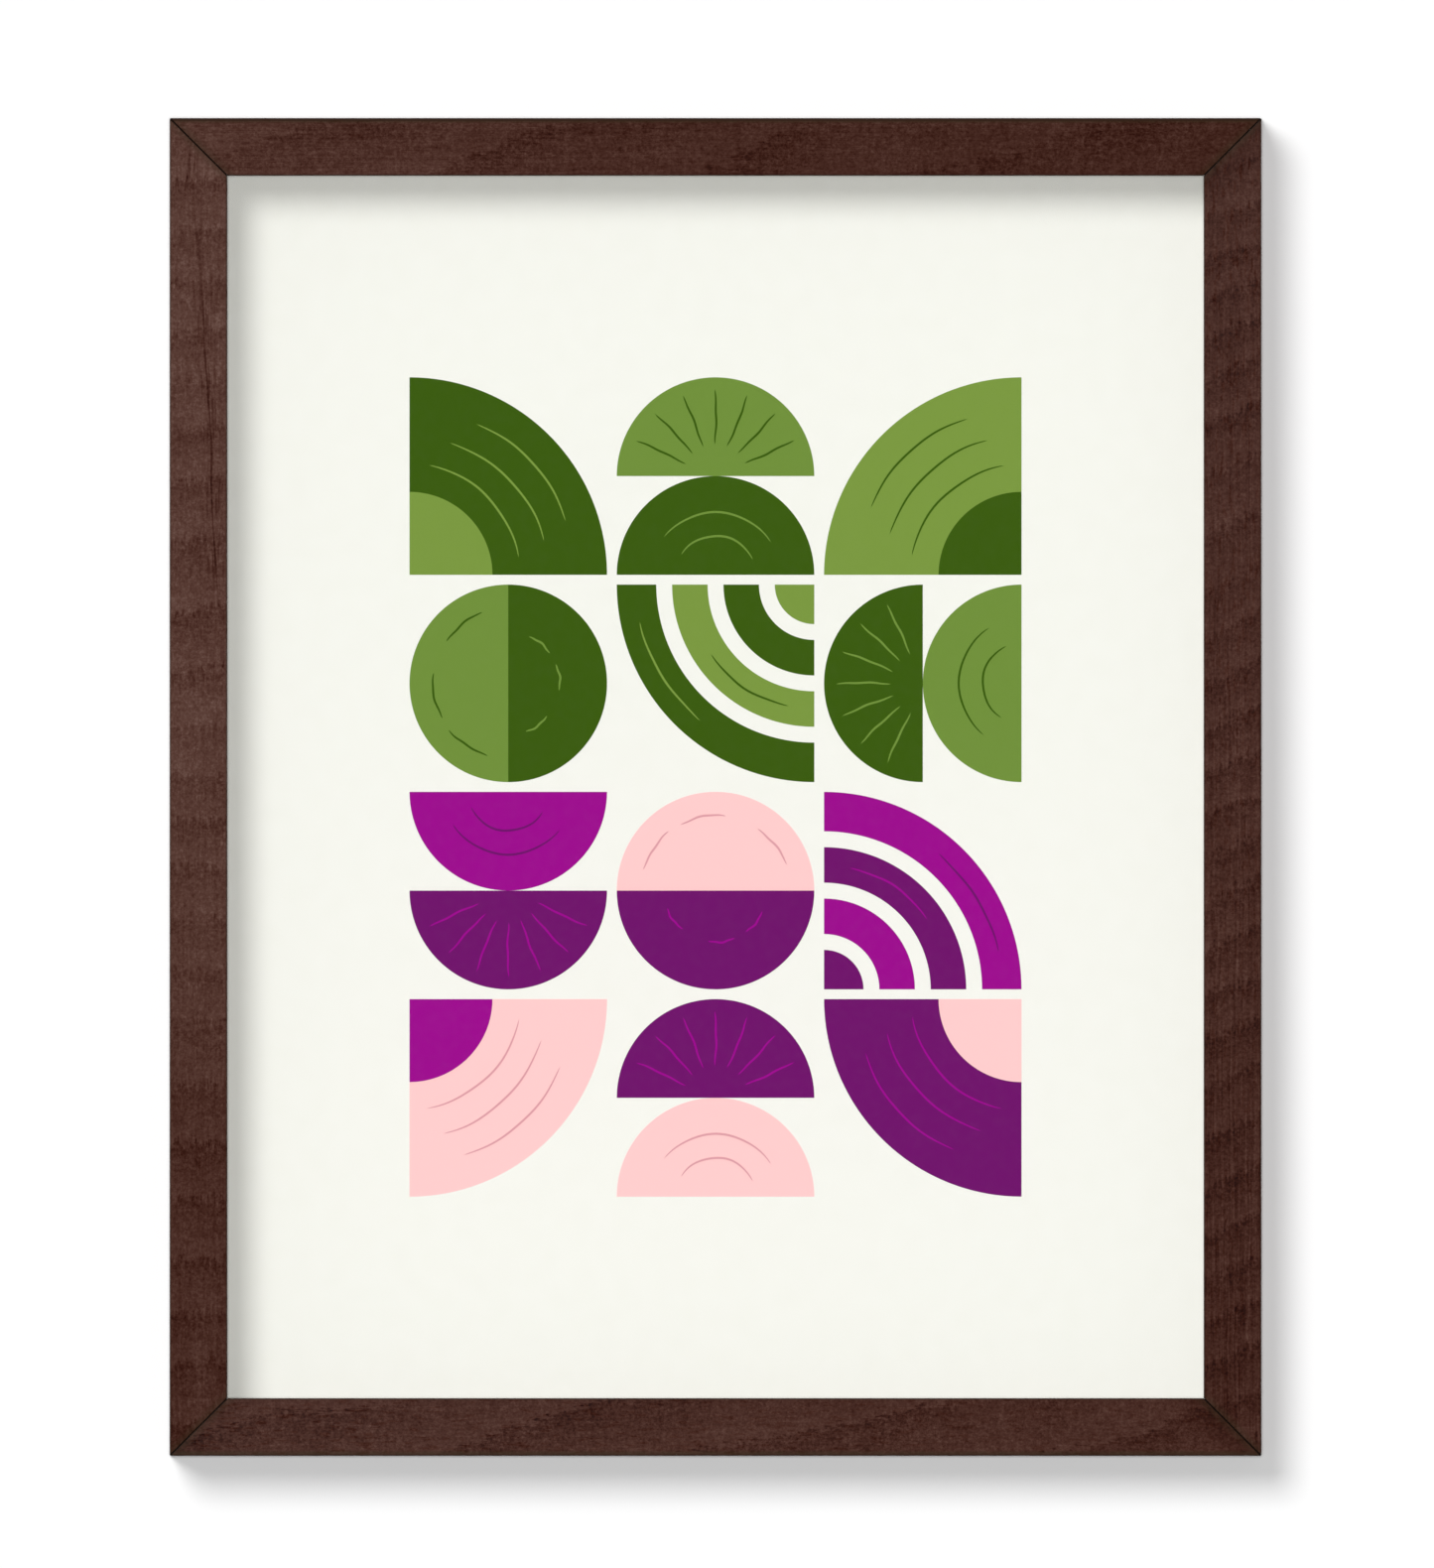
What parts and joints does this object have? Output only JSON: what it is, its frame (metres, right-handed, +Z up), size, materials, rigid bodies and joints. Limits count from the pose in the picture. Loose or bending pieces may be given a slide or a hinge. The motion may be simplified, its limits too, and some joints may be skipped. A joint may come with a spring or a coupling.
{
  "type": "framed wall print",
  "caption": "Deep, flat-faced dark wood picture frame with mitred corners, clear glazing, a set-back art print and a hardboard back. It hangs on a nail by a sawtooth hanger.",
  "frame": {"origin": "on the wall plane, where the nail meets the middle notch of the sawtooth hanger", "axes": "+Y into the wall, so that the front faces -Y; +Z up; +X to the right as seen from the front"},
  "size_m": [0.4476, 0.0347, 0.5486],
  "materials": {
    "stained_wood": "satin",
    "spacer_wood": "matte",
    "clear_acrylic": "polished",
    "art_paper": "matte",
    "green_ink": "matte",
    "purple_ink": "matte",
    "pink_ink": "matte",
    "hardboard": "matte",
    "zinc_steel": "satin",
    "brassed_steel": "satin",
    "rubber": "matte"
  },
  "bodies": {
    "root": {"rail_top": "stained_wood", "rail_right": "stained_wood", "rail_bottom": "stained_wood", "rail_left": "stained_wood", "spacer_top": "spacer_wood", "spacer_right": "spacer_wood", "spacer_bottom": "spacer_wood", "spacer_left": "spacer_wood", "glazing": "clear_acrylic", "print": "art_paper", "backing": "hardboard", "point_top_1": "zinc_steel", "point_top_2": "zinc_steel", "point_top_3": "zinc_steel", "point_right_1": "zinc_steel", "point_right_2": "zinc_steel", "point_right_3": "zinc_steel", "point_right_4": "zinc_steel", "point_bottom_1": "zinc_steel", "point_bottom_2": "zinc_steel", "point_bottom_3": "zinc_steel", "point_left_1": "zinc_steel", "point_left_2": "zinc_steel", "point_left_3": "zinc_steel", "point_left_4": "zinc_steel", "v_nail_top_right_1": "zinc_steel", "v_nail_top_right_2": "zinc_steel", "v_nail_bottom_right_1": "zinc_steel", "v_nail_bottom_right_2": "zinc_steel", "v_nail_bottom_left_1": "zinc_steel", "v_nail_bottom_left_2": "zinc_steel", "v_nail_top_left_1": "zinc_steel", "v_nail_top_left_2": "zinc_steel", "hanger": "brassed_steel", "hanger_nail_left": "brassed_steel", "hanger_nail_right": "brassed_steel", "bumper_left": "rubber", "bumper_right": "rubber"}
  },
  "joints": []
}
